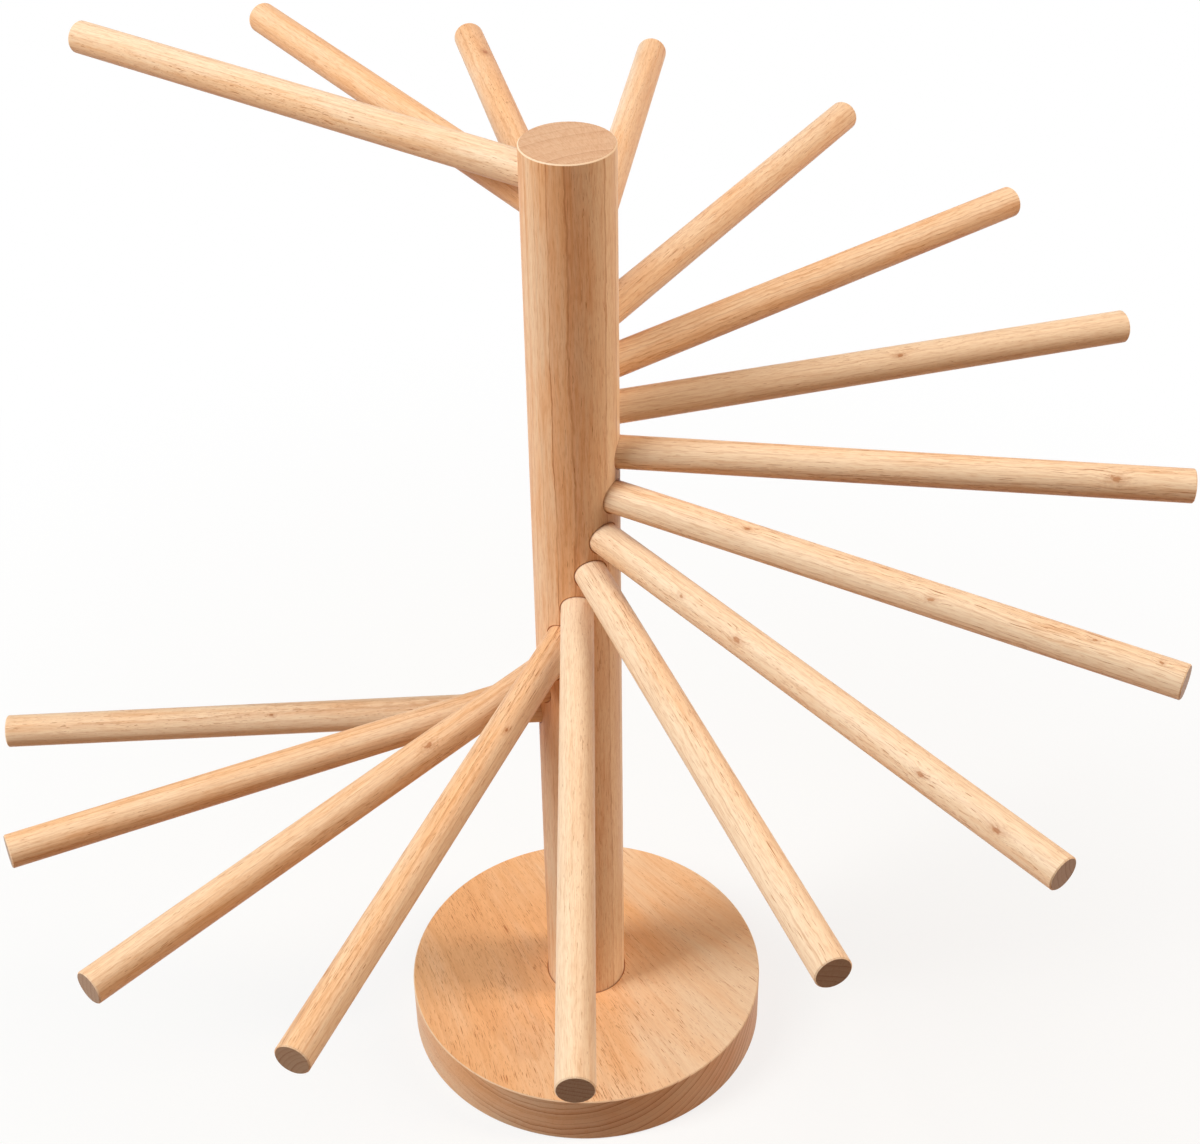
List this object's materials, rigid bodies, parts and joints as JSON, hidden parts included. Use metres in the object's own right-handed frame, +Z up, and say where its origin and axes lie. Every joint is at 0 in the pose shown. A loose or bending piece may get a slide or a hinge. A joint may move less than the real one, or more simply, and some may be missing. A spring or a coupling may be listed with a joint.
{
  "type": "pasta drying rack",
  "caption": "Wooden drying rack: a round post on a disc base, with straight pull-out rods set round it in a falling spiral, over which fresh pasta is hung to dry.",
  "frame": {"origin": "centre of the base's underside, on the post's axis", "axes": "+Z up along the post; +X to the right and +Y away from the viewer, seen from the front, where the twelfth rod from the top points"},
  "size_m": [0.4292, 0.4423, 0.4],
  "materials": {
    "beech_base": "beech board, sanded and left bare, satin",
    "beech_post": "turned beech bar, sanded and left bare, satin",
    "beech_rod": "beech round bar, sanded and left bare, satin"
  },
  "bodies": {
    "base": {"base": "beech_base"},
    "post": {"post": "beech_post"},
    "rod_01": {"rod_01": "beech_rod"},
    "rod_02": {"rod_02": "beech_rod"},
    "rod_03": {"rod_03": "beech_rod"},
    "rod_04": {"rod_04": "beech_rod"},
    "rod_05": {"rod_05": "beech_rod"},
    "rod_06": {"rod_06": "beech_rod"},
    "rod_07": {"rod_07": "beech_rod"},
    "rod_08": {"rod_08": "beech_rod"},
    "rod_09": {"rod_09": "beech_rod"},
    "rod_10": {"rod_10": "beech_rod"},
    "rod_11": {"rod_11": "beech_rod"},
    "rod_12": {"rod_12": "beech_rod"},
    "rod_13": {"rod_13": "beech_rod"},
    "rod_14": {"rod_14": "beech_rod"},
    "rod_15": {"rod_15": "beech_rod"},
    "rod_16": {"rod_16": "beech_rod"}
  },
  "joints": [
    {"name": "post_lift", "type": "slide", "parent": "base", "child": "post", "axis": [0, 0, 1], "range_m": [0, 0.022]},
    {"name": "rod_01_slide", "type": "slide", "parent": "post", "child": "rod_01", "axis": [-0.8141, 0.5807, 0], "range_m": [-0.007, 0.0228]},
    {"name": "rod_02_slide", "type": "slide", "parent": "post", "child": "rod_02", "axis": [-0.5446, 0.8386, -0.0087], "range_m": [-0.0058, 0.024]},
    {"name": "rod_03_slide", "type": "slide", "parent": "post", "child": "rod_03", "axis": [-0.1821, 0.9823, -0.0436], "range_m": [-0.0046, 0.0252]},
    {"name": "rod_04_slide", "type": "slide", "parent": "post", "child": "rod_04", "axis": [0.165, 0.9861, -0.0175], "range_m": [-0.0058, 0.024]},
    {"name": "rod_05_slide", "type": "slide", "parent": "post", "child": "rod_05", "axis": [0.5223, 0.8523, -0.0262], "range_m": [-0.0046, 0.0252]},
    {"name": "rod_06_slide", "type": "slide", "parent": "post", "child": "rod_06", "axis": [0.7985, 0.6017, -0.0175], "range_m": [-0.0046, 0.0252]},
    {"name": "rod_07_slide", "type": "slide", "parent": "post", "child": "rod_07", "axis": [0.9585, 0.2839, -0.0262], "range_m": [-0.001, 0.0288]},
    {"name": "rod_08_slide", "type": "slide", "parent": "post", "child": "rod_08", "axis": [0.9924, -0.1219, -0.0175], "range_m": [-0.001, 0.0288]},
    {"name": "rod_09_slide", "type": "slide", "parent": "post", "child": "rod_09", "axis": [0.8657, -0.4998, -0.0262], "range_m": [-0.0082, 0.0216]},
    {"name": "rod_10_slide", "type": "slide", "parent": "post", "child": "rod_10", "axis": [0.6352, -0.7706, -0.0523], "range_m": [-0.0118, 0.018]},
    {"name": "rod_11_slide", "type": "slide", "parent": "post", "child": "rod_11", "axis": [0.3256, -0.9455, -0.0087], "range_m": [-0.0046, 0.0252]},
    {"name": "rod_12_slide", "type": "slide", "parent": "post", "child": "rod_12", "axis": [-0.0174, -0.9989, -0.0436], "range_m": [-0.0142, 0.0156]},
    {"name": "rod_13_slide", "type": "slide", "parent": "post", "child": "rod_13", "axis": [-0.3907, -0.9204, -0.0175], "range_m": [-0.0106, 0.0192]},
    {"name": "rod_14_slide", "type": "slide", "parent": "post", "child": "rod_14", "axis": [-0.7007, -0.713, -0.0262], "range_m": [-0.0118, 0.018]},
    {"name": "rod_15_slide", "type": "slide", "parent": "post", "child": "rod_15", "axis": [-0.9135, -0.4067, 0], "range_m": [-0.0046, 0.0252]},
    {"name": "rod_16_slide", "type": "slide", "parent": "post", "child": "rod_16", "axis": [-0.9994, -0.0349, 0], "range_m": [-0.0046, 0.0252]}
  ]
}
